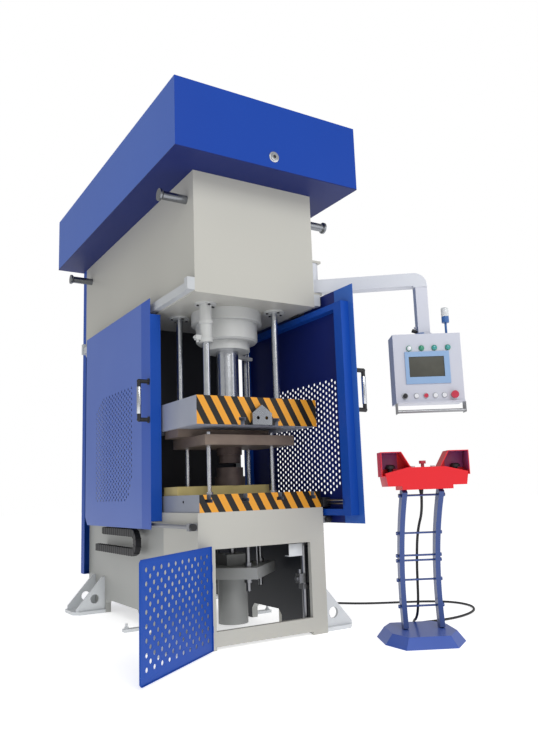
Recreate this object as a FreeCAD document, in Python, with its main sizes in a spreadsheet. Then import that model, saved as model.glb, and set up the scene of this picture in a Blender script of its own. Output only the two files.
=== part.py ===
"""Hydraulic C-frame press with sliding guards, swing-arm pendant and two-hand stand.

Millimetres. Z is up, the press front faces -Y, and the origin is on the floor
in the middle of the four anchor bolts. Change a number in SIZES and run again.
"""
import FreeCAD, Part
import math
import os
import Sketcher

V = FreeCAD.Vector

SIZES = {
    # frame of the press
    "press_width": 900, "crown_front": -1075, "crown_depth": 2250,
    "crown_bottom": 2130, "crown_height": 800, "crown_wall": 25, "crown_floor": 60,
    "plate_outer": 405, "plate_thick": 45, "plate_front": -1033, "plate_rear": 1175,
    "throat_y": -65, "throat_top": 1980, "throat_low": 935,
    "arch_height": 105, "bed_face": -1063, "bed_top": 785, "bed_plate": 60,
    "bay_half": 340, "bay_low": 105, "bay_high": 570,
    "bolster_half": 438, "bolster_thick": 105, "bolster_rear": -218,
    # working axis, cylinder and slide
    "axis_y": -635, "ram_radius": 78, "ram_clearance": 0.4, "piston_radius": 119.5,
    "chamber_radius": 120, "cylinder_radius": 200, "cylinder_top": 2800,
    "collar_radius_1": 246, "collar_radius_2": 214, "collar_radius_3": 158,
    "collar_low_1": 2050, "collar_low_2": 1920, "collar_low_3": 1863,
    "platen_half": 440, "platen_front": -1050, "platen_depth": 830,
    "platen_low": 1313, "platen_thick": 177,
    "rod_radius": 22.5, "rod_clearance": 0.4, "rod_dx": 265, "rod_dy": 210,
    "rod_top": 2380, "slot_throat": 28, "slot_base": 50, "slot_depth": 28, "slot_x": 125,
    # die set and cushion
    "pillar_radius": 14, "pillar_dx": 238, "pillar_dy": 162, "pillar_top": 1290,
    "die_radius": 90, "die_bore": 40, "shoe_thick": 55, "punch_radius": 80,
    "cushion_reach": 330, "cushion_low": 360, "cushion_thick": 70, "tie_radius": 16,
    # guards
    "guard_x": 525, "guard_sheet": 3, "guard_low": 681, "guard_high": 2218,
    "guard_length": 1425, "guard_left_y": -530, "guard_right_y": -1398,
    "guard_frame_low": 732, "guard_frame_high": 2110, "guard_hole": 10, "handle_reach": 69,
    "rail_x": 485, "rail_z": 705, "rail_radius": 12.5,
    # pump cover, doors, feet
    "cover_half": 679, "cover_front": -1317, "cover_depth": 2584, "cover_high": 3383,
    "deck_thick": 6, "cover_wall": 4, "foot_x": 580, "foot_y": 890, "foot_plate": 25,
    "foot_width": 300, "foot_reach": 250,
    "door_x": -380, "door_y": -1090, "door_low": 12, "door_high": 592, "door_width": 790,
    "door_open": 142.5,
    # pendant arm and pendant
    "pivot_x": 505, "pivot_y": -965, "arm_angle": -38.7, "arm_length": 751,
    "arm_low": 2255, "arm_size": 90, "boss_radius": 52, "boss_top": 2470,
    "pendant_x": 1091, "pendant_y": -1435, "pendant_angle": -31.7,
    "box_width": 453, "box_depth": 170, "box_low": 1442, "box_high": 1905, "box_shift": 0,
    "row_z": 1486, "lamp_z": 1807,
    # two-hand stand
    "stand_x": 783, "stand_y": -1589, "stand_angle": -28, "base_height": 60,
    "post_x": 110, "post_width": 30, "post_radius": 1012, "post_depth": 60,
    "arc_y": -989, "arc_z": 274, "console_y": -105, "console_depth": 170,
    "palm_x": 195, "palm_y": -190, "cable_radius": 8,
}


class Size:
    """A number together with the spreadsheet formula it came from."""

    def __init__(self, value, text):
        self.value = float(value)
        self.text = text

    def __add__(self, other):
        return Size(self.value + num(other), f"({self.text} + {txt(other)})")

    def __radd__(self, other):
        return Size(num(other) + self.value, f"({txt(other)} + {self.text})")

    def __sub__(self, other):
        return Size(self.value - num(other), f"({self.text} - {txt(other)})")

    def __rsub__(self, other):
        return Size(num(other) - self.value, f"({txt(other)} - {self.text})")

    def __mul__(self, other):
        return Size(self.value * num(other), f"({self.text} * {txt(other)})")

    __rmul__ = __mul__

    def __truediv__(self, other):
        return Size(self.value / num(other), f"({self.text} / {txt(other)})")

    def __neg__(self):
        return Size(-self.value, f"(0 - {self.text})")


def num(value):
    return value.value if isinstance(value, Size) else float(value)


def txt(value):
    return value.text if isinstance(value, Size) else f"({float(value):.6f})"


class Table(dict):
    def __getattr__(self, name):
        return self[name]


doc = FreeCAD.newDocument("HydraulicPress")
sheet = doc.addObject("Spreadsheet::Sheet", "Sizes")
S = Table()
for row, (name, value) in enumerate(SIZES.items(), 1):
    sheet.set(f"A{row}", name)
    sheet.set(f"B{row}", str(value))
    sheet.setAlias(f"B{row}", name)
    S[name] = Size(value, "Sizes." + name)
doc.recompute()

NODES = []
Z_TURN = V(0, 0, 1)
ALONG = {
    "z": FreeCAD.Rotation(),
    "x": FreeCAD.Rotation(V(0, 1, 0), 90),
    "y": FreeCAD.Rotation(V(1, 0, 0), -90),
}


def bind(obj, prop, value):
    """Give a property its value, with the formula when it has one."""
    if isinstance(value, Size):
        obj.setExpression(prop, value.text)
    else:
        setattr(obj, prop, float(value))


def put(obj, at, rotation=FreeCAD.Rotation()):
    """Set an object's placement, with a formula on each bound coordinate."""
    obj.Placement = FreeCAD.Placement(V(*[num(c) for c in at]), rotation)
    for axis, value in zip("xyz", at):
        if isinstance(value, Size):
            obj.setExpression("Placement.Base." + axis, value.text)
    return obj


def turned(obj, at, angle):
    """Stand a sub-part built about its own origin at a point, turned about Z."""
    return put(obj, at, FreeCAD.Rotation(Z_TURN, num(angle)))


def box(at, size):
    obj = doc.addObject("Part::Box", "Block")
    for prop, value in zip(("Length", "Width", "Height"), size):
        bind(obj, prop, value)
    return put(obj, at)


def span(x0, x1, y0, y1, z0, z1):
    """A block between two corners."""
    return box((x0, y0, z0), (x1 - x0, y1 - y0, z1 - z0))


def cyl(at, radius, height, along="z"):
    obj = doc.addObject("Part::Cylinder", "Round")
    bind(obj, "Radius", radius)
    bind(obj, "Height", height)
    return put(obj, at, ALONG[along])


def cone(at, low, high, height, along="z"):
    obj = doc.addObject("Part::Cone", "Taper")
    bind(obj, "Radius1", low)
    bind(obj, "Radius2", high)
    bind(obj, "Height", height)
    return put(obj, at, ALONG[along])


def fuse(*shapes):
    if len(shapes) == 1:
        return shapes[0]
    obj = doc.addObject("Part::MultiFuse", "Union")
    obj.Shapes = list(shapes)
    return obj


def cut(base, *tools):
    obj = doc.addObject("Part::Cut", "Cut")
    obj.Base = base
    obj.Tool = fuse(*tools)
    return obj


def group(*shapes):
    obj = doc.addObject("Part::Compound", "Set")
    obj.Links = list(shapes)
    return obj


def prism(plane, outline, thickness, at=(0, 0, 0), holes=()):
    """A sketched outline on an origin plane, padded: YZ to +X, XZ to -Y, XY to +Z."""
    body = doc.addObject("PartDesign::Body", "Profile")
    sketch = body.newObject("Sketcher::SketchObject", "Outline")
    origin = [f for f in body.Origin.OriginFeatures if f.Role == plane + "_Plane"]
    sketch.AttachmentSupport = [(origin[0], "")]
    sketch.MapMode = "FlatFace"
    points = [V(num(a), num(b), 0) for a, b in outline]
    count = len(points)
    for i in range(count):
        sketch.addGeometry(Part.LineSegment(points[i], points[(i + 1) % count]), False)
    for i in range(count):
        sketch.addConstraint(Sketcher.Constraint("Coincident", i, 2, (i + 1) % count, 1))
    for i, pair in enumerate(outline):
        for kind, value in zip(("DistanceX", "DistanceY"), pair):
            made = sketch.addConstraint(
                Sketcher.Constraint(kind, -1, 1, i, 1, num(value)))
            if isinstance(value, Size):
                sketch.setExpression(f"Constraints[{made}]", value.text)
    extra = [Part.Circle(V(a, b, 0), Z_TURN, r) for a, b, r in holes]
    if extra:
        sketch.addGeometry(extra, False)
    pad = body.newObject("PartDesign::Pad", "Pad")
    pad.Profile = sketch
    bind(pad, "Length", thickness)
    return put(body, at)


def node(name, obj):
    """Name the finished sub-part and keep it for export."""
    obj.Label = name
    NODES.append(obj)
    return obj


def mirror_x(make):
    """Build the same sub-part on the left and on the right."""
    return [make(-1), make(1)]


def sided(side, near, far, y0, y1, z0, z1):
    """A block between two distances from the middle plane, on one side."""
    if side > 0:
        return span(near, far, y0, y1, z0, z1)
    return span(-far, -near, y0, y1, z0, z1)


# ---------------------------------------------------------------- press frame
def crown_box():
    half = S.press_width / 2
    rear = S.crown_front + S.crown_depth
    top = S.crown_bottom + S.crown_height
    wall = S.crown_wall
    outer = span(-half, half, S.crown_front, rear, S.crown_bottom, top)
    inner = span(-half + wall, half - wall, S.crown_front + wall, rear - wall,
                 S.crown_bottom + S.crown_floor, top - wall)
    bores = [cyl((0, S.axis_y, S.crown_bottom), S.cylinder_radius + 0.5, S.crown_floor)]
    for dx in (-S.rod_dx, S.rod_dx):
        for dy in (-S.rod_dy, S.rod_dy):
            bores.append(cyl((dx, S.axis_y + dy, S.crown_bottom), 35, S.crown_floor))
    bores.append(cyl((S.pillar_dx, S.axis_y + 120, S.crown_bottom), 12, S.crown_floor))
    shell = cut(outer, inner, *bores)
    ears = []
    for low in (S.arm_low - 18, S.boss_top + 2):
        ears.append(span(half, S.pivot_x + 55, S.pivot_y - 55, S.pivot_y + 55, low, low + 16))
    pin = cyl((S.pivot_x, S.pivot_y, S.arm_low - 18), 20, S.boss_top - S.arm_low + 36)
    return node("crown_box", group(shell, fuse(pin, *ears)))


def side_plate_outline():
    f, r = S.plate_front, S.plate_rear
    under = S.bed_top - S.bed_plate
    a = S.arch_height
    return [
        (f, 0), (-655, 0), (-655, a - 35), (-620, a), (-290, a), (-255, a - 35),
        (-255, 0), (5, 0), (5, a - 35), (40, a), (705, a), (740, a - 35), (740, 0),
        (r, 0), (r, S.crown_bottom), (S.throat_y - 150, S.crown_bottom),
        (S.throat_y, S.throat_top), (S.throat_y, S.throat_low),
        (S.throat_y - 210, under), (f, under),
    ]


def side_plates():
    inner = S.plate_outer - S.plate_thick
    outline = side_plate_outline()
    for name, x in (("left_side_plate", -S.plate_outer), ("right_side_plate", inner)):
        node(name, prism("YZ", outline, S.plate_thick, (x, 0, 0)))


def throat_back_plate():
    inner = S.plate_outer - S.plate_thick
    node("throat_back_plate",
         span(-inner, inner, -35, -5, S.bed_top, S.crown_bottom))


def bed_box():
    half = S.press_width / 2
    inner = S.plate_outer - S.plate_thick
    face = span(-half, half, S.bed_face, S.plate_front, 0, S.bed_top)
    bay = span(-S.bay_half, S.bay_half, S.bed_face, S.plate_front, S.bay_low, S.bay_high)
    notch = span(-S.bay_half, S.bay_half, S.bed_face, S.plate_front, 0, 20)
    low = S.bed_top - S.bed_plate
    wide = span(-half, half, S.plate_front, S.throat_y - 210, low, S.bed_top)
    rear = span(-inner, inner, S.throat_y - 210, -195, low, S.bed_top)
    cheeks = mirror_x(lambda side: sided(side, S.plate_outer, half, S.plate_front, -548,
                                         0, S.bed_top))
    hole = cyl((0, S.axis_y, low), 45, S.bed_plate)
    body = cut(fuse(face, wide, rear, *cheeks), bay, notch, hole)
    leaf = span(S.door_x - 22, S.door_x - 7, S.door_y + 8, S.bed_face, 40, 560)
    knuckles = []
    for z in (60, 300, 500):
        knuckles.append(cyl((S.door_x, S.door_y, z), 6, 40))
        knuckles.append(span(S.door_x - 22, S.door_x, S.door_y - 4, S.door_y + 4, z, z + 40))
        knuckles.append(span(S.door_x - 22, S.door_x - 7, S.door_y - 4, S.door_y + 8,
                             z, z + 40))
    pin = cyl((S.door_x, S.door_y, 40), 3, 520)
    node("bed_box", fuse(body, leaf, pin, *knuckles))


def t_slots(z, direction, front, rear, xs):
    """Cutting blocks for T-slots that open at height z, towards +1 up or -1 down."""
    tools = []
    t, b, d = S.slot_throat / 2, S.slot_base / 2, S.slot_depth
    for x in xs:
        if direction > 0:
            tools.append(span(x - t, x + t, front, rear, z - d, z))
            tools.append(span(x - b, x + b, front, rear, z - d - 20, z - d))
        else:
            tools.append(span(x - t, x + t, front, rear, z, z + d))
            tools.append(span(x - b, x + b, front, rear, z + d, z + d + 20))
    return tools


def bolster_plate():
    h, top = S.bolster_half, S.bed_top + S.bolster_thick
    plate = span(-h, h, S.bed_face, S.bolster_rear, S.bed_top, top)
    xs = (-3 * S.slot_x, -S.slot_x, S.slot_x, 3 * S.slot_x)
    tools = t_slots(top, 1, S.bed_face, S.bolster_rear, xs)
    tools.append(cyl((0, S.axis_y, S.bed_top), 22, S.bolster_thick))
    tools.append(cyl((-h, S.axis_y - 200, top - 40), 10, 30, "x"))
    node("bolster_plate", cut(plate, *tools))


def foot(side, y, inner):
    """A floor plate with two holed gussets and an anchor hole."""
    w = S.foot_width / 2
    outer = inner + S.foot_reach
    c = 50
    if side > 0:
        outline = [(inner, y - w), (outer - c, y - w), (outer, y - w + c),
                   (outer, y + w - c), (outer - c, y + w), (inner, y + w)]
    else:
        outline = [(-inner, y + w), (-outer + c, y + w), (-outer, y + w - c),
                   (-outer, y - w + c), (-outer + c, y - w), (-inner, y - w)]
    plate = prism("XY", outline, S.foot_plate)
    bolt = cyl((side * S.foot_x, y, 0), 17, S.foot_plate)
    base = cut(plate, bolt)
    gussets = []
    t = S.foot_plate
    for dy in (-w + 40, w - 20):
        tri = [(side * inner, t), (side * (inner + 225), t),
               (side * (inner + 225), t + 20), (side * (inner + 20), t + 250),
               (side * inner, t + 250)]
        if side < 0:
            tri = tri[::-1]
        gussets.append(prism("XZ", tri, 20, (0, y + dy, 0)))
    hole = cyl((side * (inner + 80), y - w, t + 85), 35, S.foot_width, "y")
    return fuse(base, cut(fuse(*gussets), hole))


def levelling_foot(side):
    """The small middle foot: a narrow plate with a jacking screw."""
    x = S.plate_outer
    plate = sided(side, x, x + 170, -170, -120, 0, 20)
    screw = cyl((side * (x + 148), -145, 20), 9, 34)
    nut = cyl((side * (x + 148), -145, 20), 15, 12)
    return fuse(plate, screw, nut)


def mounting_feet():
    feet = []
    for side in (-1, 1):
        feet.append(foot(side, -S.foot_y, S.press_width / 2))
        feet.append(foot(side, S.foot_y, S.plate_outer))
        feet.append(levelling_foot(side))
    node("mounting_feet", group(*feet))


def pump_deck_and_cover():
    h = S.cover_half
    top = S.crown_bottom + S.crown_height
    rear = S.cover_front + S.cover_depth
    deck = top + S.deck_thick
    node("pump_deck", span(-h, h, S.cover_front, rear, top, deck))
    w = S.cover_wall
    outer = span(-h, h, S.cover_front, rear, deck, S.cover_high)
    inner = span(-h + w, h - w, S.cover_front + w, rear - w, deck, S.cover_high - w)
    node("top_cover", cut(outer, inner))


def lifting_trunnions():
    bars = []
    for side in (-1, 1):
        for y, z in ((-966, 2768), (1019, 2780)):
            half = S.press_width / 2
            if side > 0:
                bars.append(fuse(cyl((half, y, z), 28, 165, "x"),
                                 cone((half + 165, y, z), 28, 40, 12, "x"),
                                 cyl((half + 177, y, z), 40, 13, "x")))
            else:
                bars.append(fuse(cyl((-half - 165, y, z), 28, 165, "x"),
                                 cone((-half - 177, y, z), 40, 28, 12, "x"),
                                 cyl((-half - 190, y, z), 40, 13, "x")))
    node("lifting_trunnions", group(*bars))


def rear_cabinet():
    half = S.press_width / 2
    top = S.crown_bottom + S.crown_height
    outer = span(-half, half, S.plate_rear, S.plate_rear + 87, 264, top)
    inner = span(-half + 3, half - 3, S.plate_rear, S.plate_rear + 84, 267, top - 3)
    knobs = []
    for z in (700, 1600, 2500):
        knobs.append(cyl((-half + 60, S.plate_rear + 87, z), 16, 12, "y"))
        knobs.append(cyl((half - 60, S.plate_rear + 87, z), 16, 12, "y"))
    node("rear_cabinet", fuse(cut(outer, inner), *knobs))


# ------------------------------------------------------- cylinder, rods, slide
def main_cylinder():
    y = S.axis_y
    b = S.crown_bottom
    body = fuse(
        cyl((0, y, S.collar_low_1), S.collar_radius_1, b - S.collar_low_1),
        cyl((0, y, S.collar_low_2 + 12), S.collar_radius_2, S.collar_low_1 - S.collar_low_2 - 12),
        cone((0, y, S.collar_low_2), S.collar_radius_2 - 12, S.collar_radius_2, 12),
        cyl((0, y, S.collar_low_3), S.collar_radius_3, S.collar_low_2 - S.collar_low_3),
        cyl((0, y, b), S.cylinder_radius, S.cylinder_top - b))
    chamber = cyl((0, y, b), S.chamber_radius, S.cylinder_top - 50 - b)
    gland = cyl((0, y, S.collar_low_3), S.ram_radius + S.ram_clearance, b - S.collar_low_3)
    node("main_cylinder", cut(body, chamber, gland))


def ram():
    y = S.axis_y
    low = S.platen_low + S.platen_thick
    node("ram", fuse(cyl((0, y, low), 110, 15),
                     cyl((0, y, low), S.ram_radius, 2160 - low),
                     cyl((0, y, 2160), S.piston_radius, 80)))


def platen():
    h = S.platen_half
    front, rear = S.platen_front, S.platen_front + S.platen_depth
    block = span(-h, h, front, rear, S.platen_low, S.platen_low + S.platen_thick)
    tools = t_slots(S.platen_low, -1, front, rear, (-S.slot_x, S.slot_x))
    node("platen", cut(block, *tools))


def rod_places():
    return [(dx, S.axis_y + dy) for dx in (-S.rod_dx, S.rod_dx)
            for dy in (-S.rod_dy, S.rod_dy)]


def guide_rods():
    low = S.platen_low + S.platen_thick
    rods = []
    for x, y in rod_places():
        rods.append(fuse(cyl((x, y, low), S.rod_radius, S.rod_top - low),
                         cyl((x, y, low), 40, 12)))
    node("guide_rods", group(*rods))


def bush(x, y, low):
    """A flanged guide bush under the crown floor, with four screw heads."""
    b = S.crown_bottom
    parts = [cyl((x, y, b - 12), 72, 12), cyl((x, y, b), 34.5, S.crown_floor + 30)]
    if low:
        parts.append(cyl((x, y, 1868), 40, b - 12 - 1868))
        parts.append(cyl((x, y, 1868), 46, 30))
        parts.append(cyl((x, y, 1990), 46, 24))
        parts.append(span(x - 78, x - 38, y - 16, y + 16, 1880, 1912))
        parts.append(cyl((x - 90, y, 1896), 7, 14, "x"))
        parts.append(cyl((x - 62, y, 1866), 9, 16))
    for dx, dy in ((-56, 0), (56, 0), (0, -56), (0, 56)):
        parts.append(cyl((x + dx, y + dy, b - 20), 8, 10))
    bottom = 1866 if low else b - 12
    bore = cyl((x, y, bottom), S.rod_radius + S.rod_clearance, b + 90 - bottom)
    return cut(fuse(*parts), bore)


def guide_bushes():
    places = rod_places()
    bushes = [bush(x, y, False) for x, y in places[1:]]
    turn = math.degrees(math.atan2(120, num(S.pillar_dx)))
    low = num(S.collar_low_3)
    bar = span(112, 292, -20, 20, low - 22, low)
    arm = cut(bar, cyl((math.hypot(120, num(S.pillar_dx)), 0, low - 22), 8.4, 22))
    bushes.append(turned(arm, (0, S.axis_y, 0), turn))
    node("guide_bushes", group(*bushes))
    node("rod_lock", bush(places[0][0], places[0][1], True))


def position_rod():
    low = S.platen_low + S.platen_thick
    x, y = S.pillar_dx, S.axis_y + 120
    node("position_rod", fuse(cyl((x, y, low), 8, 990), cyl((x, y, low), 14, 18)))


def bell_clamp():
    """A polished clamp plate with a peaked top on the platen face."""
    low = S.platen_low
    outline = [(-68, low), (75, low), (75, low + 74), (3, low + 128), (-68, low + 74)]
    plate = prism("XZ", outline, 30, (0, S.platen_front, 0), [(-27, 1357, 11), (35, 1357, 11)])
    node("bell_clamp", plate)


# ------------------------------------------------------------------- die set
def die_set():
    y, top = S.axis_y, S.bed_top + S.bolster_thick
    low = span(-430, 250, y - 95, y + 120, top, top + S.shoe_thick)
    node("lower_die_shoe", cut(low, cyl((0, y, top), 25, S.shoe_thick)))
    pillars = []
    holes = []
    for dx in (-S.pillar_dx, S.pillar_dx):
        for dy in (-S.pillar_dy, S.pillar_dy):
            at = (dx, y + dy, top)
            pillars.append(fuse(cyl(at, S.pillar_radius, S.pillar_top - top),
                                cyl(at, 24, 16)))
            holes.append(cyl((dx, y + dy, 1198), S.pillar_radius + 0.4, 64))
    node("die_pillars", group(*pillars))
    deck = top + S.shoe_thick
    ring = fuse(cyl((0, y, deck), S.die_radius + 12, 60), cyl((0, y, deck + 60), S.die_radius, 60))
    node("die_block", cut(ring, cyl((0, y, deck), S.die_bore, 120)))
    node("upper_die_plate", cut(span(-330, 330, y - 300, y + 190, 1198, 1262), *holes))
    node("upper_die_shoe", span(-420, 260, y - 95, y + 120, 1262, S.platen_low))
    node("punch", fuse(cyl((0, y, 1150), S.punch_radius + 5, 48),
                       cyl((0, y, 1095), S.punch_radius - 8, 55)))


# -------------------------------------------------------------- bed interior
def cushion():
    r, y = S.cushion_reach, S.axis_y
    z, t = S.cushion_low, S.cushion_thick
    plate = prism("XY", [(0, y - r), (r, y), (0, y + r), (-r, y)], t, (0, 0, z))
    spots = [(0, y - 215), (215, y), (0, y + 215), (-215, y)]
    holes = [cyl((a, b, z), S.tie_radius + 0.3, t) for a, b in spots]
    node("cushion_plate", cut(plate, cyl((0, y, z), 30.3, t), *holes))
    ties = []
    for a, b in spots:
        ties.append(fuse(cyl((a, b, z - 80), S.tie_radius, 725 - z + 80),
                         cyl((a, b, z - 28), 27, 28), cyl((a, b, z + t), 27, 24),
                         cyl((a, b, 705), 27, 20)))
    ties.append(cyl((80, y - 190, z + t), 6, 725 - z - t))
    node("cushion_tie_rods", group(*ties))
    shell = fuse(cyl((0, y, 60), 98, z - 60), cyl((0, y, z), 30, t),
                 span(-80, 80, y - 80, y + 80, z + t, z + t + 70))
    node("cushion_cylinder", cut(shell, cyl((0, y, 150), 60.5, 205),
                                 cyl((0, y, 355), 20.4, z + t + 70 - 355)))
    node("ejector_rod", fuse(cyl((0, y, 151), 60, 40), cyl((0, y, 191), 20, 669)))


def pressure_pipe():
    x, y = 335, -985
    inner = S.plate_outer - S.plate_thick
    pipe = cyl((x, y, 60), 17.5, 665)
    parts = [pipe, cyl((x, y, 60), 24, 22), cyl((x, y, 690), 24, 20)]
    for z in (290, 560):
        parts.append(span(308, inner, y - 26, y + 26, z - 15, z + 15))
    parts.append(span(284, 330, y - 24, y + 24, 312, 372))
    parts.append(cyl((270, y, 342), 14, 14, "x"))
    parts.append(cyl((302, y, 372), 11, 26))
    node("pressure_pipe", fuse(*parts))


# --------------------------------------------------------------------- guards
def guard_rails():
    half = S.press_width / 2
    b = S.crown_bottom
    rails = []
    for side in (-1, 1):
        bar = sided(side, half, 492, S.crown_front, 1100, b + 10, b + 65)
        stop = sided(side, half, 500, S.crown_front, -1030, b + 10, b + 90)
        end = sided(side, half, 500, 1100, 1140, b + 10, b + 100)
        rails.append(fuse(bar, stop, end))
    for side in (-1, 1):
        rod = cyl((side * S.rail_x, -1075, S.rail_z), S.rail_radius, 1975, "y")
        knob = cyl((side * S.rail_x, -1083, S.rail_z), 20, 28, "y")
        front = sided(side, half, 503, -1055, -1020, S.rail_z - 22, S.rail_z + 22)
        rear = sided(side, S.plate_outer, 503, 868, 898, S.rail_z - 18, S.rail_z + 18)
        rails.append(fuse(rod, knob, front, rear))
    node("guard_rails", group(*rails))


def field(y0, y1, z0, z1, inside):
    """Centres of a staggered field of round holes."""
    spots = []
    column = 0
    y = y0
    while y <= y1:
        z = z0 + (19.5 if column % 2 else 0)
        while z <= z1:
            if inside(y, z):
                spots.append((y, z, SIZES["guard_hole"]))
            z += 39
        y += 34
        column += 1
    return spots


def left_field(y, z):
    low_corner = (y - 336) / 113 + (z - 863) / 156 >= 1
    high_corner = (1160 - y) / 167 + (1667 - z) / 100 >= 1
    return low_corner and high_corner


def right_field(y, z):
    return (y - 185) / 150 + (z - 866) / 100 >= 1


def guard_sheet(name, side, y, holes):
    a, c = S.guard_length, 60
    outline = [(0, S.guard_low), (a - c, S.guard_low), (a, S.guard_low + c),
               (a, S.guard_high), (0, S.guard_high)]
    x = S.guard_x if side > 0 else -S.guard_x - S.guard_sheet
    node(name, prism("YZ", outline, S.guard_sheet, (x, y, 0), holes))


def guard_frame(name, side, y):
    """The tube frame behind a sheet; the left one has its post at the front edge."""
    lo, hi, x = S.guard_frame_low, S.guard_frame_high, S.guard_x
    deep, back = (73, 0) if side < 0 else (63, 50)
    post = sided(side, x - deep, x, y + back, y + back + 80, lo, hi)
    rear = sided(side, x - 60, x, y + 1345, y + 1385, lo, hi)
    top = sided(side, x - 60, x, y + back + 80, y + 1345, hi - 40, hi)
    low = sided(side, x - 60, x, y + back + 80, y + 1345, lo, lo + 40)
    node(name, fuse(post, rear, top, low))


def guard_carriages(name, side, y):
    b, x, z = S.crown_bottom, S.guard_x, S.rail_z
    blocks = []
    for at in (560, 1240):
        c = sided(side, x - 55, x, y + at, y + at + 120, b - 5, b + 80)
        slot = sided(side, x - 60, 492.5, y + at, y + at + 120, b + 9, b + 66)
        blocks.append(cut(c, slot))
        low = sided(side, x - 57, x, y + at, y + at + 120, z - 20, z + 20)
        bore = cyl((side * S.rail_x, y + at, z), S.rail_radius + 0.4, 120, "y")
        blocks.append(cut(low, bore))
    node(name, group(*blocks))


def guard_handle(name, side, y):
    x = S.guard_x + S.guard_sheet
    far = x + S.handle_reach
    parts = [cyl((side * far, y + 25, 1392), 13, 256)]
    for z in (1392, 1648):
        start = x if side > 0 else -far
        parts.append(cyl((start, y + 25, z), 14, S.handle_reach, "x"))
        parts.append(sphere((side * far, y + 25, z), 15))
        start = x if side > 0 else -x - 6
        parts.append(cyl((start, y + 25, z), 22, 6, "x"))
    node(name, fuse(*parts))


def sphere(at, radius):
    obj = doc.addObject("Part::Sphere", "Ball")
    bind(obj, "Radius", radius)
    return put(obj, at)


def guards():
    left = field(336 + 17, 1160, 863 + 10, 1667, left_field)
    right = field(185 + 17, 1005, 866 + 10, 1627, right_field)
    for tag, side, y, holes in (("left", -1, S.guard_left_y, left),
                                ("right", 1, S.guard_right_y, right)):
        guard_sheet(tag + "_guard_sheet", side, y, holes)
        guard_frame(tag + "_guard_frame", side, y)
        guard_carriages(tag + "_guard_carriages", side, y)
        guard_handle(tag + "_guard_handle", side, y)


def energy_chain():
    """The looped cable carrier beside the left bottom rail, resting on a bracket."""
    x0, w = -500, 40
    r, h = 66, 24
    y, z = -90, 579
    upper = span(x0, x0 + w, y, 550, z + r - h, z + r + h)
    lower = span(x0, x0 + w, y, 700, z - r - h, z - r + h)
    bend = cut(cyl((x0, y, z), r + h, w, "x"), cyl((x0, y, z), r - h, w, "x"),
               span(x0, x0 + w, y, y + r + h, z - r - h, z + r + h))
    low_arm = span(x0, -S.plate_outer, 620, 700, z - r - 8, z - r + 8)
    up_arm = span(x0, -S.plate_outer, 470, 550, z + r - 8, z + r + 8)
    node("energy_chain", fuse(upper, lower, bend, low_arm, up_arm))


# ----------------------------------------------------------------- lower door
def lower_door():
    """A folded, slotted door, built closed about its hinge and then swung open."""
    z0, z1, w = S.door_low, S.door_high, S.door_width
    spots = []
    row = 0
    z = 78
    while z <= 545:
        x = 60 + (37 if row % 2 else 0)
        while x <= 728:
            spots.append((x, z, 12))
            x += 74
        z += 33
        row += 1
    skin = prism("XZ", [(8, z0), (w - 14, z0), (w, z0 + 14), (w, z1 - 14), (w - 14, z1),
                        (8, z1)], 3, (0, 3, 0), spots)
    rims = [span(8, w - 14, 3, 9, z0, z0 + 3), span(8, w - 14, 3, 9, z1 - 3, z1),
            span(w - 3, w, 3, 9, z0 + 14, z1 - 14), span(8, 11, 3, 9, z0, z1)]
    knuckles = []
    for z in (110, 350, 450):
        knuckles.append(cut(fuse(cyl((0, 0, z), 6, 36), span(0, 10, -2, 4, z, z + 36)),
                            cyl((0, 0, z), 3.4, 36)))
    lock = cyl((w - 40, -5, 300), 11, 7, "y")
    door = fuse(skin, lock, *(rims + knuckles))
    node("lower_door", turned(door, (S.door_x, S.door_y, 0), -S.door_open))


# ---------------------------------------------------------------- pendant arm
def pendant_arm():
    a, h, z = S.arm_length, S.arm_size / 2, S.arm_low
    top = z + S.arm_size
    bar = span(0, a - h, -h, h, z, top)
    root = cyl((0, 0, z), S.boss_radius, S.boss_top - z)
    elbow = doc.addObject("Part::Cylinder", "Elbow")
    bind(elbow, "Radius", S.arm_size)
    bind(elbow, "Height", S.arm_size)
    elbow.Angle = 90
    put(elbow, (a - h, h, z), FreeCAD.Rotation(V(1, 0, 0), 90))
    down = span(a - h, a + h, -h, h, z - 12, z)
    shape = cut(fuse(bar, root, elbow, down), cyl((0, 0, z), 20.4, S.boss_top - z),
                cyl((a, 0, z - 12), 31, 50))
    node("pendant_arm", turned(shape, (S.pivot_x, S.pivot_y, 0), S.arm_angle))


def pendant_place(obj):
    return turned(obj, (S.pendant_x, S.pendant_y, 0), S.pendant_angle)


def pendant_box():
    c, w, d = S.box_shift, S.box_width / 2, S.box_depth / 2
    lo, hi = S.box_low, S.box_high
    tube = span(-40, 40, -43, 43, hi + 17, S.arm_low - 13)
    spigot = cyl((0, 0, S.arm_low - 13), 30, 38)
    collar = cyl((0, 0, hi), 58, 17)
    outer = span(c - w, c + w, -d, d, lo, hi)
    inner = span(c - w + 3, c + w - 3, -d + 3, d - 3, lo + 3, hi - 3)
    holes = []
    for dx, r in ((-168, 6.5), (-92, 9.5), (-29, 9.5), (33, 9.5), (93, 9.5), (157, 10.5)):
        holes.append(cyl((c + dx, -d, S.row_z), r, 3, "y"))
    knob = cyl((-58, 0, hi + 60), 9, 18, "x")
    lip = span(c - w, c + w, -d - 12, -d, lo - 4, lo + 8)
    shape = fuse(tube, spigot, collar, cut(outer, inner, *holes), knob, lip)
    node("pendant_box", pendant_place(shape))


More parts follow.
